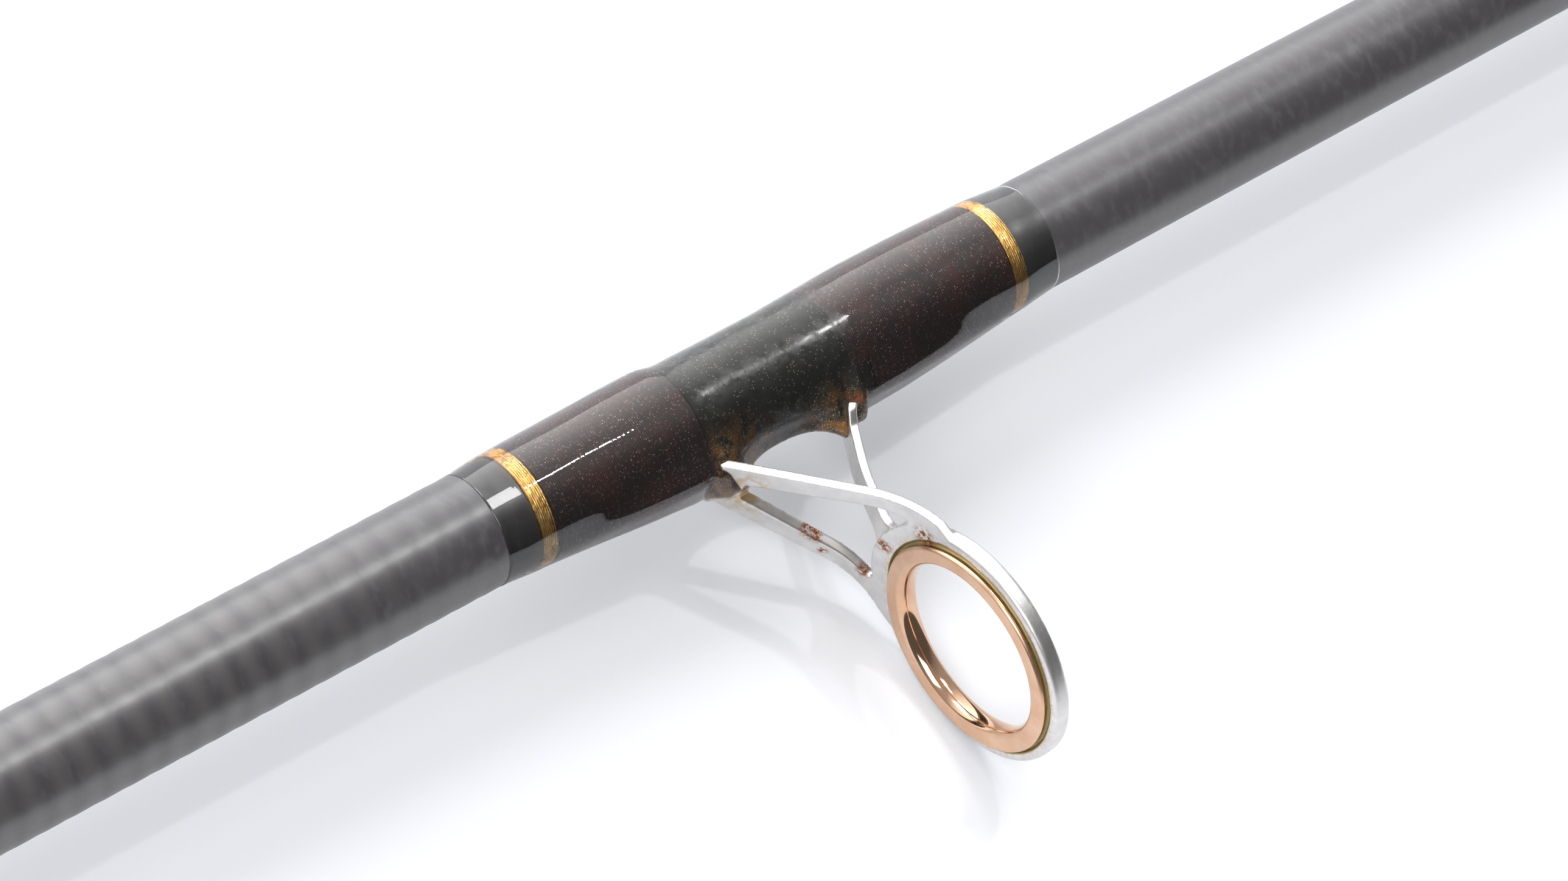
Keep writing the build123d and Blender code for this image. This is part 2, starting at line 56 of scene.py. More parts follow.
# --- Sizes taken from the frame -----------------------------------------------------------


def node_points(node):
    """A CAD node's vertices in millimetres."""
    mesh = frame["nodes"][node].data
    points = np.zeros(len(mesh.vertices) * 3, np.float32)
    mesh.vertices.foreach_get("co", points)
    return points.reshape(-1, 3).astype(float) / MM


def span(node):
    """Where a CAD node starts and ends along the rod, in millimetres."""
    low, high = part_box(node)
    return low.x / MM, high.x / MM


def blank_outline():
    """Stations and radii of the blank's outside: the upper hull of both sections' vertices."""
    points = np.vstack([node_points("butt_blank"), node_points("tip_blank")])
    pairs = sorted(set(zip(points[:, 0].round(3), np.hypot(points[:, 1], points[:, 2]).round(4))))
    hull = []
    for x, r in pairs:
        while len(hull) > 1:
            (x1, r1), (x2, r2) = hull[-2:]
            if (x2 - x1) * (r - r1) < (x - x1) * (r2 - r1):
                break
            hull.pop()
        if hull and hull[-1][0] == x:
            hull.pop()
        hull.append((x, r))
    return np.array(hull).T


BLANK_X, BLANK_R = blank_outline()
trim_start = span("stripper_guide_butt_trim")[0]
trim_end = span("stripper_guide_tip_trim")[1]
STATION = (trim_start + trim_end) / 2 + 0.95
FLOOR = -14.1 * MM
GUIDES = ("stripper", "second", "third", "fourth", "fifth", "sixth")
# The guides that stand on two feet
BRACED = GUIDES[:3]
GUIDE_BODY = {
    guide: "butt_section" if guide == "stripper" else "tip_section" for guide in GUIDES
}
# Where varnish has turned amber at a guide's leg and brace, and a rusty speck, from its station
BASE_SPOTS = ((-9.5, -8.2, 0), (4.5, -8.8, 0), (7.2, -7.7, 2.3))
# Rust on the stripping guide's frame: a place from its station, and a radius
RUST = (
    ((-3.4, -16.2, -4.2), 1.5),
    ((-2.8, -17.1, -4.7), 1.3),
    ((-2.3, -18.5, -6.5), 0.9),
    ((0.7, -22.5, -7.0), 1.3),
    ((0.7, -23.0, 0.2), 1.5),
    ((1.3, -26.3, 7.4), 2.2),
)
# One turn of binding thread, and how far a winding stands off the blank
THREAD = 0.25
THREAD_BUILD = 0.30
# A full-size frame's sheet, and how much of a foot lies below the blank's surface
SHEET = 1.2
FOOT_SUNK = 0.45
# A full-size insert's radius
RING_RADIUS = 12.5
# Where the butt-side winding starts, from the station of a full-size guide
BUTT_WINDING = -32.1
# The varnish starts here, and its inner surface lies this far under the blank's
COAT_START = -38.4
COAT_DEPTH = 0.12
# Pitch of the blank's wrapping tape
TAPE = 3.5


def blank_at(x):
    """The blank's outer radius at a station."""
    return np.interp(x, BLANK_X, BLANK_R)


# --- Mesh helpers -------------------------------------------------------------------------


def mesh_object(name, vertices, faces, body):
    """A piece from vertices in millimetres, with its faces turned outwards, on a body."""
    mesh = bpy.data.meshes.new(name)
    mesh.from_pydata((np.asarray(vertices) * MM).tolist(), [], faces)
    shell = bmesh.new()
    shell.from_mesh(mesh)
    bmesh.ops.recalc_face_normals(shell, faces=shell.faces)
    shell.to_mesh(mesh)
    shell.free()
    mesh.polygons.foreach_set("use_smooth", [True] * len(mesh.polygons))
    piece = bpy.data.objects.new(name, mesh)
    bpy.context.scene.collection.objects.link(piece)
    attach(piece, body)
    return piece


def turn(x, radius, segments, centre=(0, 0, 0), axis=None):
    """Points (ring, segment, xyz) at radii round the rod's axis; segment 0 faces -Y."""
    phi = np.linspace(0, 2 * math.pi, segments, endpoint=False)
    radius = np.broadcast_to(np.asarray(radius, float).reshape(len(x), -1), (len(x), segments))
    along = np.broadcast_to(np.asarray(x, float)[:, None], radius.shape)
    points = np.stack([along, -radius * np.cos(phi), radius * np.sin(phi)], -1)
    if axis is not None:
        turned = np.array(Vector((1, 0, 0)).rotation_difference(Vector(axis)).to_matrix())
        points = points @ turned.T
    return points + np.asarray(centre, float)


def ring_faces(rings, segments):
    """Quads over rings of points, with the last ring joined to the first."""
    i, j = np.meshgrid(np.arange(rings), np.arange(segments), indexing="ij")
    k = (i + 1) % rings
    n = (j + 1) % segments
    near, far = i * segments, k * segments
    return np.stack([near + j, near + n, far + n, far + j], -1).reshape(-1, 4).tolist()


def tube(name, points, body):
    """A closed piece over a grid of points (ring, segment, xyz)."""
    rings, segments = points.shape[:2]
    return mesh_object(name, points.reshape(-1, 3), ring_faces(rings, segments), body)


def sleeve(name, x, outer, inner, body, segments):
    """A closed sleeve round the rod: outer radii by ring and segment, and a plain inside."""
    outside = turn(x, outer, segments)
    inside = turn(x[[-1, 0]], inner[[-1, 0]], segments)
    return tube(name, np.concatenate([outside, inside]), body)


def angles(segments):
    """Angles round the rod from -Y, from -pi to pi."""
    phi = np.linspace(0, 2 * math.pi, segments, endpoint=False)
    return (phi + math.pi) % (2 * math.pi) - math.pi


def smoothstep(x, start, end):
    """0 at start, 1 at end, with a soft rise between them."""
    s = np.clip((x - start) / (end - start), 0, 1)
    return s * s * (3 - 2 * s)


def ripple(x, phi, height, length):
    """Gentle unevenness over x and the angle phi, as a sum of random waves."""
    count = 9
    total = np.zeros(np.broadcast(x, phi).shape)
    for _ in range(count):
        wave = 2 * math.pi / (length * random.uniform(0.6, 2.0))
        turns = random.integers(0, 6)
        phase = random.uniform(0, 2 * math.pi)
        total += np.sin(wave * x * random.choice([-1, 1]) + turns * phi + phase)
    return height * total / math.sqrt(count)


# --- Material helpers ---------------------------------------------------------------------


class Paint:
    """A material's node tree, with short calls for the nodes used here."""

    def __init__(self, name, **settings):
        self.material = bpy.data.materials.new(name)
        self.material.use_nodes = True
        self.tree = self.material.node_tree
        self.shader = self.tree.nodes["Principled BSDF"]
        for socket, value in settings.items():
            self.shader.inputs[socket.replace("_", " ")].default_value = value
        self.place = self.tree.nodes.new("ShaderNodeTexCoord").outputs["Object"]

    def node(self, kind, **inputs):
        """A new node; inputs are named by their label, or by number as i0, i1."""
        made = self.tree.nodes.new("ShaderNode" + kind)
        for key, value in inputs.items():
            numbered = key[0] == "i" and key[1:].isdigit()
            socket = made.inputs[int(key[1:]) if numbered else key]
            if isinstance(value, bpy.types.NodeSocket):
                self.tree.links.new(value, socket)
            else:
                socket.default_value = value
        return made

    def maths(self, operation, a, b=0.0):
        made = self.node("Math", i0=a, i1=b)
        made.operation = operation
        return made.outputs[0]

    def stretched(self, scale):
        """Object coordinates scaled by (x, y, z)."""
        return self.node("Mapping", Vector=self.place, Scale=scale).outputs[0]

    def noise(self, scale, detail=3.0, stretch=(1, 1, 1), rough=0.5):
        made = self.node(
            "TexNoise", Vector=self.stretched(stretch), Scale=scale, Detail=detail, Roughness=rough
        )
        return made.outputs["Fac"]

    def bands(self, pitch, **inputs):
        """Waves along the rod, one for each pitch in millimetres."""
        scale = 1 / pitch / MM / 20 * 2 * math.pi
        return self.node("TexWave", Vector=self.place, Scale=scale, **inputs).outputs["Fac"]

    def ramp(self, value, *stops):
        """A colour ramp over stops of (position, colour)."""
        made = self.node("ValToRGB", Fac=value)
        elements = made.color_ramp.elements
        while len(elements) < len(stops):
            elements.new(0.5)
        for element, (position, colour) in zip(elements, stops):
            element.position = position
            element.color = (*colour, 1)
        return made.outputs["Color"]

    def fade(self, value, start, end):
        """0 below start, 1 above end, either way round."""
        made = self.node("MapRange", Value=value)
        made.interpolation_type = "SMOOTHSTEP"
        made.inputs["From Min"].default_value = start
        made.inputs["From Max"].default_value = end
        return made.outputs["Result"]

    def mixed(self, share, a, b):
        """Colour a, and b by share; each may be a value or a socket."""
        made = self.tree.nodes.new("ShaderNodeMix")
        made.data_type = "RGBA"
        for index, value in ((0, share), (6, a), (7, b)):
            if isinstance(value, bpy.types.NodeSocket):
                self.tree.links.new(value, made.inputs[index])
            elif index:
                made.inputs[index].default_value = (*value, 1)
            else:
                made.inputs[index].default_value = value
        return made.outputs[2]

    def bump(self, height, distance):
        """Raises the surface by height times distance, in metres."""
        return self.node("Bump", Height=height, Distance=distance, Strength=1.0).outputs[0]

    def radial(self, centre, axis):
        """Distance from an axis through centre, and distance along it."""
        away = self.node("VectorMath", i0=self.place, i1=tuple(centre))
        away.operation = "SUBTRACT"
        along = self.node("VectorMath", i0=away.outputs[0], i1=tuple(axis))
        along.operation = "DOT_PRODUCT"
        far = self.node("VectorMath", i0=away.outputs[0])
        far.operation = "LENGTH"
        square = self.maths("MULTIPLY", far.outputs["Value"], far.outputs["Value"])
        part = self.maths("MULTIPLY", along.outputs["Value"], along.outputs["Value"])
        return self.maths("SQRT", self.maths("SUBTRACT", square, part)), along.outputs["Value"]

    def near(self, point, radius):
        """1 at a point, falling to 0 at radius from it."""
        away = self.node("VectorMath", i0=self.place, i1=tuple(point))
        away.operation = "DISTANCE"
        return self.fade(away.outputs["Value"], radius, radius * 0.25)

    def specks(self, scale, share, size):
        """Random dots: voronoi cells, of which a share holds a dot of the given size."""
        made = self.node("TexVoronoi", Vector=self.place, Scale=scale)
        chance = self.node("SeparateColor", Color=made.outputs["Color"]).outputs[0]
        dot = self.fade(made.outputs["Distance"], size, size * 0.5)
        return self.maths("MULTIPLY", dot, self.maths("LESS_THAN", chance, share))

    def use(self, socket, value):
        """Links a value to one of the shader's sockets."""
        self.tree.links.new(value, self.shader.inputs[socket])


def blank_paint():
    """Unsanded charcoal blank under a satin finish, with painted sheen on the tape ridges."""
    p = Paint("blank_charcoal", Specular_IOR_Level=1.0, IOR=1.55)
    cloud = p.noise(110, 4, (1, 0.4, 0.4))
    grain = p.noise(1100, 3, (1, 0.5, 0.5))
    base = p.ramp(cloud, (0.3, (0.052, 0.048, 0.053)), (0.7, (0.066, 0.062, 0.066)))
    # Lighter bands over the tape ridges, strongest on the butt side: painted sheen where the ridges
    # catch the light.
    rings = p.bands(TAPE, Distortion=1.2, Detail=2.0)
    along = p.node("SeparateXYZ", Vector=p.place).outputs[0]
    sheen_on_butt_side = p.fade(along, (STATION - 42) * MM, (STATION - 62) * MM)
    base = p.mixed(p.maths("MULTIPLY", rings, sheen_on_butt_side), base, (0.088, 0.083, 0.082))
    p.use("Base Color", p.mixed(p.fade(grain, 0.45, 0.75), base, (0.082, 0.078, 0.082)))
    p.use("Roughness", p.maths("ADD", p.maths("MULTIPLY", grain, 0.14), 0.28))
    height = p.maths("ADD", p.maths("MULTIPLY", grain, 0.5), p.noise(3500, 2))
    p.use("Normal", p.bump(height, 0.000004))
    return p.material


def thread_paint(ridged):
    """Dark burgundy binding thread with rusty and whitish flecks.

    Ridged is for plain bands: it adds the turns as bump and a glossy coat.
    """
    name = "binding_thread_ridged" if ridged else "binding_thread"
    p = Paint(name, Roughness=0.5, Specular_IOR_Level=0.4)
    if ridged:
        p.shader.inputs["Coat Weight"].default_value = 1.0
        p.shader.inputs["Coat Roughness"].default_value = 0.06
    patches = p.noise(260, 3, (1, 0.6, 0.6))
    body = p.ramp(
        patches,
        (0.3, (0.045, 0.034, 0.037)),
        (0.55, (0.062, 0.036, 0.036)),
        (0.8, (0.115, 0.042, 0.034)),
    )
    fine = p.noise(2600, 2, (1, 0.35, 0.35))
    body = p.mixed(p.fade(fine, 0.52, 0.8), body, (0.10, 0.062, 0.058))
    body = p.mixed(p.specks(3300, 0.40, 0.42), body, (0.22, 0.12, 0.09))
    p.use("Base Color", p.mixed(p.specks(4100, 0.16, 0.36), body, (0.50, 0.43, 0.40)))
    if ridged:
        p.use("Normal", p.bump(p.bands(THREAD), 0.00005))
    return p.material


def gold_paint():
    """Metallised trim thread: foil strands that glitter."""
    p = Paint("gold_thread", Metallic=1.0)
    tone = p.noise(900, 3, (1, 0.5, 0.5))
    gold = p.ramp(
        tone, (0.3, (0.66, 0.39, 0.10)), (0.55, (0.92, 0.61, 0.20)), (0.8, (1.0, 0.80, 0.38))
    )
    p.use("Base Color", p.mixed(p.specks(3000, 0.12, 0.35), gold, (0.30, 0.14, 0.03)))
    p.use("Roughness", p.fade(p.noise(2500, 2), -0.1, 1.3))
    facets = p.node("TexVoronoi", Vector=p.stretched((1, 0.4, 0.4)), Scale=3800)
    p.use("Normal", p.bump(facets.outputs["Distance"], 0.00006))
    return p.material


def base_coat_paint(guide, k, leg, brace, stain):
    """Old tinted varnish between the windings: green-black, amber with gold flakes at the metal."""
    p = Paint(f"{guide}_tinted_varnish", Roughness=0.55, Specular_IOR_Level=0.2)
    cloud = p.noise(300, 4)
    dark = p.ramp(cloud, (0.3, (0.026, 0.027, 0.023)), (0.7, (0.052, 0.052, 0.047)))
    amber = p.maths("MAXIMUM", p.near(leg, 0.0085 * k), p.near(brace, 0.0065 * k))
    warm = p.maths("MULTIPLY", amber, p.fade(p.noise(700, 4), 0.35, 0.62))
    body = p.mixed(warm, dark, (0.40, 0.20, 0.06))
    body = p.mixed(p.near(stain, 0.0010), body, (0.36, 0.05, 0.02))
    flake = p.specks(3600, 0.35, 0.34)
    body = p.mixed(flake, body, (0.40, 0.33, 0.24))
    rich = p.maths("MULTIPLY", p.specks(4300, 0.6, 0.42), amber)
    p.use("Base Color", p.mixed(rich, body, (0.75, 0.48, 0.20)))
    return p.material


def clear_paint():
    """Clear hard varnish: a mirror over what lies under it, duller between the windings."""
    p = Paint("clear_varnish", Metallic=1.0, Base_Color=(1, 1, 1, 1))
    p.use("Alpha", p.node("Fresnel", IOR=1.58).outputs[0])
    along = p.node("SeparateXYZ", Vector=p.place).outputs[0]
    from_middle = p.maths("ABSOLUTE", p.maths("SUBTRACT", along, (STATION - 1.2) * MM))
    dull = p.fade(from_middle, 0.0112, 0.0100)
    scuffs = p.fade(p.noise(900, 4), 0.35, 0.65)
    haze = p.maths("ADD", p.maths("MULTIPLY", scuffs, 0.20), 0.12)
    p.use("Roughness", p.maths("ADD", p.maths("MULTIPLY", dull, haze), 0.025))
    turns = p.bands(0.6)
    swell = p.maths("MULTIPLY", p.noise(500, 2), 0.25)
    height = p.maths("ADD", swell, p.maths("MULTIPLY", turns, 0.25))
    p.use("Normal", p.bump(height, 0.000004))
    return p.material


def steel_paint(name="frame_steel", rusty=(), ring=None, scale=1.0):
    """Satin stainless sheet; rusty holds (point, radius) stains, ring its (centre, axis)."""
    p = Paint(name, Metallic=1.0)
    cloud = p.noise(500, 4)
    grain = p.noise(3000, 3, (1, 1, 0.2))
    steel = p.ramp(
        cloud, (0.25, (0.62, 0.61, 0.60)), (0.6, (0.72, 0.71, 0.70)), (0.85, (0.80, 0.79, 0.78))
    )
    rough = p.maths("ADD", p.maths("MULTIPLY", grain, 0.12), 0.33)
    if ring is not None:
        centre, axis = ring
        radius, along = p.radial(centre, axis)
        mottle = p.noise(2200, 4)
        rim = p.fade(radius, 0.0142 * scale, 0.0128 * scale)
        edge = p.maths("MULTIPLY", rim, p.fade(mottle, 0.46, 0.60))
        steel = p.mixed(p.maths("MULTIPLY", edge, 0.55), steel, (0.62, 0.42, 0.26))
        groove = p.fade(radius, 0.0131 * scale, 0.0129 * scale)
        seat = p.maths("MULTIPLY", groove, p.fade(along, 0.0019, 0.0016))
        steel = p.mixed(seat, steel, (0.48, 0.40, 0.20))
        rough = p.maths("MAXIMUM", rough, p.maths("MULTIPLY", seat, 0.6))
    if rusty:
        base = p.near(((STATION - 8.8) * MM, -0.0103, 0), 0.0055)
        stained = p.maths("MULTIPLY", base, p.fade(p.noise(900, 4), 0.38, 0.60))
        steel = p.mixed(stained, steel, (0.55, 0.40, 0.22))
    for (x, y, z), size in rusty:
        close = p.near(((STATION + x) * MM, y * MM, z * MM), size * MM)
        patch = p.maths("MULTIPLY", close, p.fade(p.noise(1700, 5, rough=0.65), 0.42, 0.54))
        colour = p.ramp(p.noise(4200, 3), (0.35, (0.16, 0.045, 0.02)), (0.65, (0.50, 0.20, 0.08)))
        steel = p.mixed(patch, steel, colour)
        rough = p.maths("MAXIMUM", rough, p.maths("MULTIPLY", patch, 0.7))
    p.use("Base Color", steel)
    p.use("Roughness", rough)
    p.use("Normal", p.bump(p.noise(1400, 3), 0.0000012))
    return p.material


def copper_paint(name, roughness):
    """Rose-gold plated ring, with fine turning marks."""
    p = Paint(name, Metallic=1.0)
    tone = p.noise(350, 4)
    p.use("Base Color", p.ramp(tone, (0.3, (0.64, 0.39, 0.25)), (0.7, (0.74, 0.50, 0.35))))
    marks = p.maths("MULTIPLY", p.noise(1800, 3), 0.12)
    p.use("Roughness", p.maths("ADD", marks, roughness - 0.06))
    p.use("Normal", p.bump(p.noise(3200, 2), 0.0000006))
    return p.material


def foam_paint():
    """Closed-cell foam: dull black with fine open pores, their pits darkened as painted shade."""
    p = Paint("grip_foam", Roughness=0.92, Specular_IOR_Level=0.25)
    p.shader.inputs["Sheen Weight"].default_value = 0.15
    p.shader.inputs["Sheen Roughness"].default_value = 0.6
    cells = p.node("TexVoronoi", Vector=p.place, Scale=1500)
    tone = p.noise(120, 4)
    body = p.ramp(tone, (0.3, (0.016, 0.016, 0.017)), (0.7, (0.030, 0.030, 0.031)))
    # Darker at the cell centres, where the bump sinks the pits: painted shade.
    pores = p.fade(cells.outputs["Distance"], 0.25, 0.05)
    p.use("Base Color", p.mixed(pores, body, (0.006, 0.006, 0.006)))
    p.use("Normal", p.bump(cells.outputs["Distance"], 0.00018))
    return p.material


def rubber_paint():
    """Moulded rubber with a fine stipple."""
    p = Paint("rubber", Specular_IOR_Level=0.4)
    wear = p.noise(90, 5)
    p.use("Base Color", p.ramp(wear, (0.35, (0.014, 0.014, 0.014)), (0.75, (0.032, 0.031, 0.030))))
    p.use("Roughness", p.fade(wear, -1.2, 1.1))
    p.use("Normal", p.bump(p.noise(2500, 2), 0.00006))
    return p.material


def plastic_paint():
    """Graphite-filled nylon with a satin moulded skin."""
    p = Paint("seat_plastic", Specular_IOR_Level=0.5)
    tone = p.noise(420, 5)
    p.use("Base Color", p.ramp(tone, (0.3, (0.012, 0.012, 0.013)), (0.7, (0.024, 0.024, 0.026))))
    p.use("Roughness", p.fade(p.noise(700, 3), -0.9, 1.8))
    p.use("Normal", p.bump(p.noise(3000, 2), 0.00002))
    return p.material


def metal_paint(name, dark, light, roughness):
    """Turned metal: brushed round the rod's axis."""
    p = Paint(name, Metallic=1.0)
    marks = p.noise(2200, 3, (1, 0.05, 0.05))
    p.use("Base Color", p.ramp(p.noise(260, 4), (0.3, dark), (0.7, light)))
    p.use("Roughness", p.maths("ADD", p.maths("MULTIPLY", marks, 0.22), roughness - 0.11))
    p.use("Normal", p.bump(marks, 0.000015))
    return p.material


def soft_paint(name, dark, light):
    """Plain soft plastic for pads and bushes."""
    p = Paint(name)
    p.use("Base Color", p.ramp(p.noise(500, 4), (0.3, dark), (0.7, light)))
    p.use("Roughness", p.fade(p.noise(900, 3), -1.2, 1.4))
    p.use("Normal", p.bump(p.noise(1800, 3), 0.00003))
    return p.material


# --- Replaced pieces ----------------------------------------------------------------------


def finish_piece(piece, slot, *materials, stands_for=()):
    """Gives a piece its materials and hides the CAD nodes it stands for; the slot argument is not
    used.
    """
    for material in materials:
        piece.data.materials.append(material)
    if stands_for:
        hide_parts(*stands_for)


def guide_nodes(guide, kind):
    """A guide's CAD nodes of one kind, winding or trim, from the butt side on."""
    return sorted(
        node for node in NODE_SLOT if node.startswith(f"{guide}_guide_") and kind in node
    )


def tape_relief(x, phi):
    """Ridges left by the wrapping tape: a soft helix, strong on the butt side of the guide."""
    wobble = ripple(x, phi, 0.35, 40)
    turns = 2 * math.pi * (x + wobble) / TAPE - phi
    fading = 1 - 0.8 * smoothstep(x, STATION + 30, STATION + 45)
    return 0.020 * fading * (np.sin(turns) + 0.3 * np.sin(2 * turns + 1))


def make_blanks(material):
    """Both sections of the blank, finely ringed where the stripping guide stands."""
    spigot = abs(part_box("ferrule_spigot")[0].y) / MM
    chamfer, edge = 0.25, 0.3
    segments = 112
    phi = angles(segments)[None, :]
    start, end = span("butt_blank")
    close = (STATION - 160, STATION + 140)
    x = np.concatenate([
        np.arange(start, close[0], 12.0),
        np.arange(close[0], close[1], 0.5),
        np.arange(close[1], end - 1, 8.0),
        [end - edge, end],
    ])
    outer = blank_at(x)[:, None] + tape_relief(x[:, None], phi)
    outer[[0, -1]] -= chamfer
    glued = spigot + 0.02
    inside = turn([end, end - 77, start], [glued, glued, 5.0], segments)
    points = np.concatenate([turn(x, outer, segments), inside])
    butt = tube("butt_blank_tube", points, "butt_section")
    finish_piece(butt, "blank", material, stands_for=["butt_blank"])
    start, end = span("tip_blank")
    x = np.concatenate([[start, start + edge], np.arange(start + 8, end, 8.0), [end]])
    outer = blank_at(x)[:, None] + 0.3 * tape_relief(x[:, None], phi)
    outer[0] -= chamfer
    socket, sliding = start + 72, spigot + 0.04
    bore = [0.3, 0.4, 3.6, sliding, sliding]
    inside = turn([end, end - 120, socket, socket, start], bore, segments)
    points = np.concatenate([turn(x, outer, segments), inside])
    tip = tube("tip_blank_tube", points, "tip_section")
    finish_piece(tip, "blank", material, stands_for=["tip_blank"])


def hull_radius(phi, circle, reach, half):
    """Distance from the axis to a band drawn tight round a circle and a bar at phi = 0."""
    corner = np.hypot(reach, half)
    edge = np.arctan2(half, reach)
    touch = edge + np.arccos(np.clip(circle / corner, -1, 1))
    away = np.abs(phi)
    flat = reach / np.cos(np.minimum(away, edge))
    slope = circle / np.cos(np.clip(touch - away, 0, 1.4))
    return np.where(away < edge, flat, np.where(away < touch, slope, circle))


def rounded(radius, passes):
    """Radii with their corners round the rod worn down."""
    for _ in range(passes):
        radius = (np.roll(radius, 1, 1) + 2 * radius + np.roll(radius, -1, 1)) / 4
    return radius


def wound_band(name, start, end, lifts, halves, relief, body, segments):
    """A winding with each turn of its thread, relief deep between them.

    Lifts and halves are the height and half width of the foot in it, at its start and its end.
    """
    rings_a_turn = 6
    phi = angles(segments)[None, :]
    x = np.linspace(start, end, int((end - start) / THREAD * rings_a_turn))[:, None]
    circle = blank_at(x) + THREAD_BUILD
    radius = circle + 0 * phi
    if max(lifts):
        lift = np.interp(x, [start, end], lifts) + 0 * circle
        half = np.interp(x, [start, end], halves)
        radius = rounded(hull_radius(phi, circle, circle + lift, half), 2)
    turns = x / THREAD - phi / (2 * math.pi)
    within = (turns % 1) * 2 - 1
    radius = radius - relief * (1 - np.sqrt(np.clip(1 - within**2, 0, 1)))
    radius = radius + ripple(x, phi, 0.004, 3.0)
    radius[[0, -1]] -= 0.10
    inner = blank_at(x[:, 0]) - 0.05
    return sleeve(name, x[:, 0], radius, inner, body, segments)


def make_windings(guide, station, k, thread, gold):
    """A guide's windings over its feet, and their metallic trims."""
    body = GUIDE_BODY[guide]
    segments = 168 if guide == "stripper" else 96
    foot = 0.59 + (SHEET - FOOT_SUNK) * k
    nodes = guide_nodes(guide, "winding")
    trims = guide_nodes(guide, "trim")
    # Winding's start and end, its foot's heights and half widths, trim's start and end
    bands = [("butt", BUTT_WINDING, -12.2, (0.12, foot), (0.9, 2.9), -34.1, -32.15)]
    if guide in BRACED:
        bands.append(("tip", 7.6, 30.4, (foot, 0.12), (2.4, 0.9), 30.45, 32.2))
    for order, (end, start, stop, lifts, halves, trim_from, trim_to) in enumerate(bands):
        halves = [half * k for half in halves]
        name = f"{guide}_{end}_thread"
        ends = station + start * k, station + stop * k
        band = wound_band(name, *ends, lifts, halves, 0.05, body, segments)
        finish_piece(band, "dark_thread", thread, stands_for=nodes[order:order + 1])
        if trims:
            name = f"{guide}_{end}_gold"
            ends = station + trim_from * k, station + trim_to * k
            trim = wound_band(name, *ends, (0, 0), (0, 0), 0.07, body, segments)
            finish_piece(trim, "gold_thread", gold, stands_for=trims[order:order + 1])


def web_reach(x):
    """How far the varnish web reaches from the axis on the guide side: a hanging arch."""
    leg_edge, brace_edge = -8.6, 4.7
    arch = 7.15 + 2.9 * np.exp(-(x - leg_edge) / 1.8) + 3.3 * np.exp((x - brace_edge) / 2.2)
    behind_leg = np.interp(x, [-12.6, leg_edge], [7.6, 10.05])
    before_brace = np.interp(x, [brace_edge, 8.2], [10.45, 7.6])
    arch = np.where(x < leg_edge, behind_leg, arch)
    return np.where(x > brace_edge, before_brace, arch)


# Thickness of the varnish over the blank, along a full-size guide
COAT_X = (COAT_START, -34.6, -19.0, -13.2, -11.2, 3.0, 14.4, 20.0, 32.4, 36.8)
COAT = (0, 0.36, 0.66, 0.66, 0.17, 0.17, 0.66, 0.66, 0.42, 0)


def coat_radius(station, k, braced, x, phi, thickness):
    """Outside of a guide's varnish at rings x (from the station, by scale) and angles phi."""
    soften = ((0.3, -0.7), (0.4, 0), (0.3, 0.7))
    build = sum(share * np.interp(x + shift, COAT_X, COAT) for share, shift in soften)
    if not braced:
        build = build * (1 - smoothstep(x, -10.5, -8.2))
    circle = blank_at(station + x * k) + build * thickness
    foot = 0.67 + (SHEET - FOOT_SUNK) * k
    lifts = [0, 0.10, foot, 0, 0, foot + 0.04, 0.10, 0]
    if not braced:
        lifts[5:] = [0, 0, 0]
    lift = np.interp(x, [-36, -33, -11.0, -8.5, 6.0, 7.8, 31.4, 34], lifts)
    half = np.interp(x, [-33, -11.5, 0, 7.8, 31.4], [1.0, 3.0, 2.2, 2.6, 1.0]) * k
    radius = rounded(hull_radius(phi, circle, circle + np.maximum(lift, 0.001), half), 14)
    if not braced:
        return radius
    inside = (x > -12.6) & (x < 8.2)
    flush = 6.65
    height = np.where(inside, np.maximum(web_reach(x) - flush, 0), 0) * k - (1 - thickness) * 0.08
    width = (1.35 + 0.9 * smoothstep(-x, 4, 9) + 0.5 * smoothstep(x, 1.5, 5)) * k
    away = np.abs(phi) * circle / width
    drop = 0.5 * k * np.exp(-(((x - 3.2) / 1.7) ** 2) - (((phi - 0.34) * circle / 1.5 / k) ** 2))
    return radius + np.maximum(height, 0) / (1 + away**2) ** 1.6 + drop


def make_varnish(guide, station, k, clear):
    """The clear coat over a guide's windings, and the tinted coat between them."""
    braced = guide in BRACED
    segments = 200 if guide == "stripper" else 120
    phi = angles(segments)[None, :]
    end = 36.9 if braced else -7.9
    step = 0.28 / math.sqrt(k)
    x = np.arange(COAT_START, end, step)[:, None]
    radius = coat_radius(station, k, braced, x, phi, 1.0)
    uneven = smoothstep(x, -38, -34) * (1 - smoothstep(x, end - 4, end)) * k
    radius = radius + uneven * (ripple(x, phi, 0.012, 11.0) + ripple(x, phi, 0.0015, 2.6))
    ring_x = station + x[:, 0] * k
    inner = blank_at(ring_x) - COAT_DEPTH
    coat = sleeve(f"{guide}_clear_varnish", ring_x, radius, inner, GUIDE_BODY[guide], segments)
    finish_piece(coat, "varnish", clear, stands_for=[f"{guide}_guide_epoxy"])
    if not braced:
        return
    x = np.arange(-12.15, 10.0, step)[:, None]
    radius = coat_radius(station, k, braced, x, phi, 0.45) + ripple(x, phi, 0.003, 4.0)
    ring_x = station + x[:, 0] * k
    inner = blank_at(ring_x) - COAT_DEPTH
    under = sleeve(f"{guide}_tinted_varnish", ring_x, radius, inner, GUIDE_BODY[guide], segments)
    spots = [((station + x * k) * MM, y * k * MM, z * k * MM) for x, y, z in BASE_SPOTS]
    finish_piece(under, "varnish", base_coat_paint(guide, k, *spots))


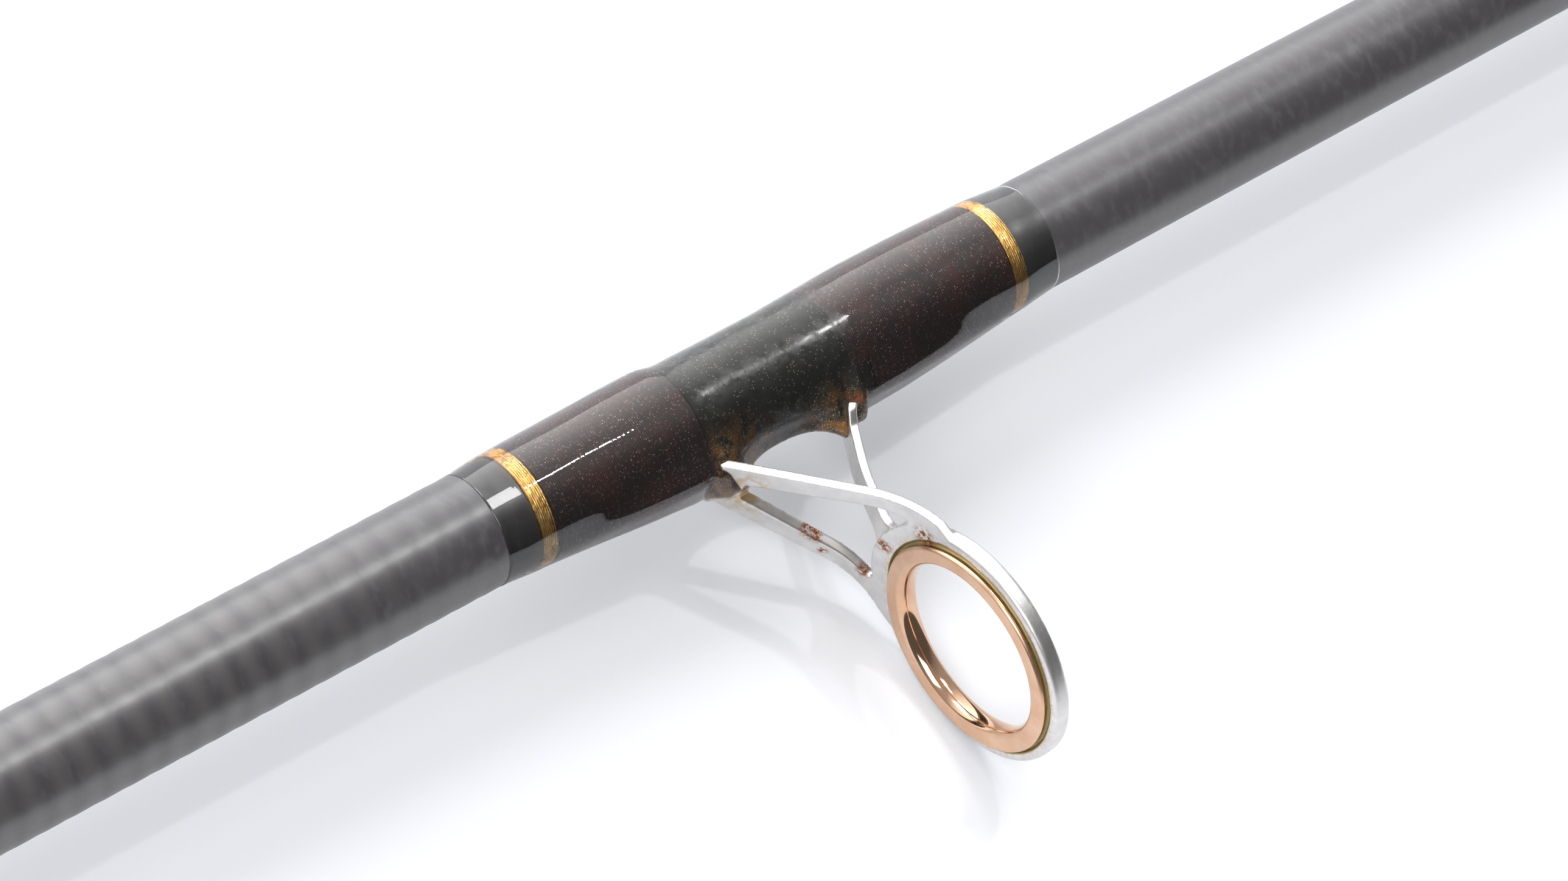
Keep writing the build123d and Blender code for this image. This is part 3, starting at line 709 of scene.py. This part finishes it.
def ring_place(node):
    """Centre, axis and ring scale of an insert, from the spread of its own vertices."""
    points = node_points(node)
    middle = (points.min(0) + points.max(0)) / 2
    axis = np.linalg.eigh(np.cov((points - points.mean(0)).T))[1][:, 0]
    axis = axis * np.sign(axis[0])
    off = points - middle
    along = off @ axis
    radius = np.linalg.norm(off - np.outer(along, axis), axis=1)
    return middle + axis * along.min(), axis, radius.max() / RING_RADIUS


def make_ring(node, body, polished, flange):
    """A ring insert: a rounded, polished bore behind a flat front flange."""
    centre, axis, k = ring_place(node)
    bore = [(1.4 - 1.4 * math.cos(a), 11.0 - math.sin(a)) for a in np.linspace(0, math.pi, 33)]
    back = [(2.8, 11.7), (2.72, 11.88), (2.5, 12.0), (0.7, 12.0), (0.7, 12.5)]
    front = [(0.32, 12.5), (0.24, 12.47), (0.06, 12.34), (0, 12.26), (0, 12.1), (0, 11.3)]
    outline = np.array(bore + back + front) * k
    segments = 160
    points = turn(outline[:, 0], outline[:, 1], segments, centre, axis)
    piece = tube(node + "_insert", points, body)
    flat_from = len(bore) + len(back)
    for face in piece.data.polygons:
        face.material_index = int(flat_from <= face.index // segments)
    finish_piece(piece, NODE_SLOT[node], polished, flange, stands_for=[node])
    return centre, axis, k


def make_frame(node, body, voxel, material):
    """A guide frame with the soft edges of stamped and tumbled sheet."""
    mesh = frame["nodes"][node].data.copy()
    piece = bpy.data.objects.new(node + "_sheet", mesh)
    bpy.context.scene.collection.objects.link(piece)
    remesh = piece.modifiers.new("even", "REMESH")
    remesh.mode = "VOXEL"
    remesh.voxel_size = voxel * MM
    soften = piece.modifiers.new("soften", "SMOOTH")
    soften.factor = 0.5
    soften.iterations = 6
    evaluated = piece.evaluated_get(bpy.context.evaluated_depsgraph_get())
    piece.data = bpy.data.meshes.new_from_object(evaluated)
    piece.modifiers.clear()
    piece.data.materials.clear()
    piece.data.polygons.foreach_set("use_smooth", [True] * len(piece.data.polygons))
    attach(piece, body)
    finish_piece(piece, NODE_SLOT[node], material, stands_for=[node])


# --- The rod ------------------------------------------------------------------------------

charcoal = blank_paint()
thread = thread_paint(False)
gold = gold_paint()
clear = clear_paint()
polished = copper_paint("ring_copper_bore", 0.10)
flange = copper_paint("ring_copper_flange", 0.30)

make_blanks(charcoal)
for guide in GUIDES:
    body = GUIDE_BODY[guide]
    rust, voxel = (RUST, 0.15) if guide == "stripper" else ((), 0.17)
    centre, axis, scale = make_ring(f"{guide}_guide_ring", body, polished, flange)
    steel = steel_paint(f"{guide}_steel", rust, (Vector(centre) * MM, axis), scale)
    winding_start = min(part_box(node)[0].x for node in guide_nodes(guide, "winding"))
    station = winding_start / MM - BUTT_WINDING * scale
    make_windings(guide, station, scale, thread, gold)
    make_varnish(guide, station, scale, clear)
    make_frame(f"{guide}_guide_frame", body, voxel, steel)

plain = {
    "blank": charcoal,
    "spigot": charcoal,
    "rubber": rubber_paint(),
    "grip_foam": foam_paint(),
    "anodised": metal_paint("anodised", (0.05, 0.05, 0.055), (0.10, 0.10, 0.11), 0.32),
    "arbor": soft_paint("arbor", (0.45, 0.42, 0.34), (0.60, 0.56, 0.47)),
    "seat_plastic": plastic_paint(),
    "hood_steel": metal_paint("hood_steel", (0.55, 0.55, 0.56), (0.72, 0.72, 0.72), 0.28),
    "pad": soft_paint("pad", (0.02, 0.02, 0.02), (0.04, 0.04, 0.04)),
    "dark_thread": thread_paint(True),
    "gold_thread": gold,
    "varnish": clear,
    "frame_steel": steel_paint(),
    "ring_copper": polished,
}
for name, node in frame["nodes"].items():
    node.data.materials.clear()
    node.data.materials.append(plain[NODE_SLOT[name]])

# --- Studio -------------------------------------------------------------------------------

# Sky brightness from -Y (0) through overhead (0.5) to +Y (1), as shares of SKY_STRENGTH
SKY = (
    (0.0, 0.027),
    (0.32, 0.03),
    (0.38, 0.06),
    (0.5, 0.10),
    (0.67, 0.13),
    (0.85, 0.42),
    (0.935, 0.68),
    (1.0, 1.0),
)
SKY_STRENGTH = 4.5


def studio():
    """Pale floor under a soft sky, brighter on the rod's back side, and four lamps.

    Two wide lamps light the scene; a small window and a strip overhead give the varnish its lines.
    """
    mesh = bpy.data.meshes.new("floor")
    far = 60.0
    corners = [(-far, -far), (far, -far), (far, far), (-far, far)]
    mesh.from_pydata([(x, y, FLOOR) for x, y in corners], [], [(0, 1, 2, 3)])
    floor = bpy.data.objects.new("floor", mesh)
    bpy.context.scene.collection.objects.link(floor)
    p = Paint("floor_paper", Roughness=0.9, Specular_IOR_Level=0.1)
    tone = p.noise(3, 2)
    p.use("Base Color", p.ramp(tone, (0.3, (0.86, 0.875, 0.915)), (0.7, (0.88, 0.895, 0.935))))
    floor.data.materials.append(p.material)
    world = bpy.data.worlds.new("studio")
    bpy.context.scene.world = world
    world.use_nodes = True
    nodes, links = world.node_tree.nodes, world.node_tree.links
    sky = nodes.new("ShaderNodeSeparateXYZ")
    links.new(nodes.new("ShaderNodeTexCoord").outputs["Generated"], sky.inputs[0])
    share = nodes.new("ShaderNodeMapRange")
    share.inputs["From Min"].default_value = -1
    links.new(sky.outputs["Y"], share.inputs["Value"])
    ramp = nodes.new("ShaderNodeValToRGB")
    links.new(share.outputs[0], ramp.inputs[0])
    for position, _ in SKY[1:-1]:
        ramp.color_ramp.elements.new(position)
    for element, (position, level) in zip(ramp.color_ramp.elements, SKY):
        element.position = position
        element.color = (level, level, level, 1)
    background = nodes["Background"]
    links.new(ramp.outputs[0], background.inputs["Color"])
    background.inputs["Strength"].default_value = SKY_STRENGTH
    target = Vector((STATION * MM, 0, 0))

    def area(name, offset, size, size_y, power):
        """A lamp at an offset from the guide; those on the butt side are aimed at it."""
        data = bpy.data.lights.new(name, "AREA")
        data.shape = "RECTANGLE"
        data.size, data.size_y = size, size_y
        data.energy = power
        lamp = bpy.data.objects.new(name, data)
        lamp.location = target + Vector(offset)
        if offset[0] < 0:
            lamp.rotation_mode = "QUATERNION"
            lamp.rotation_quaternion = Vector(offset).to_track_quat("Z", "Y")
        bpy.context.scene.collection.objects.link(lamp)

    area("key", (-0.3, 1.5, 1.5), 1.2, 0.9, 17.0)
    area("fill", (-1.1, -0.4, 1.6), 1.2, 1.2, 17.0)
    area("window", (0.53, 0.20, 1.30), 0.05, 0.05, 2.2)
    area("strip", (0.34, 0.30, 1.30), 0.14, 0.50, 2.4)


def make_camera():
    """Looks at the stripping guide from its own side and above, through a long lens."""
    data = bpy.data.cameras.new("camera")
    data.sensor_width = 36
    data.lens = 167.7
    data.clip_start, data.clip_end = 0.05, 50
    camera = bpy.data.objects.new("camera", data)
    heading, down, roll = math.radians(27.19), math.radians(59.33), math.radians(30.84)
    flat = math.cos(down)
    forward = Vector((math.cos(heading) * flat, math.sin(heading) * flat, -math.sin(down)))
    level = forward.cross(Vector((0, 0, 1))).normalized()
    upright = level.cross(forward)
    right = level * math.cos(roll) + upright * math.sin(roll)
    up = right.cross(forward)
    aim = Vector((STATION * MM - 0.0018, -0.0074, 0))
    turned = Matrix((right, up, -forward)).transposed().to_4x4()
    distance = 0.7871
    camera.matrix_world = Matrix.Translation(aim - forward * distance) @ turned
    bpy.context.scene.collection.objects.link(camera)
    bpy.context.scene.camera = camera


studio()
make_camera()
bpy.context.scene.view_settings.view_transform = "Standard"

bpy.context.view_layer.update()
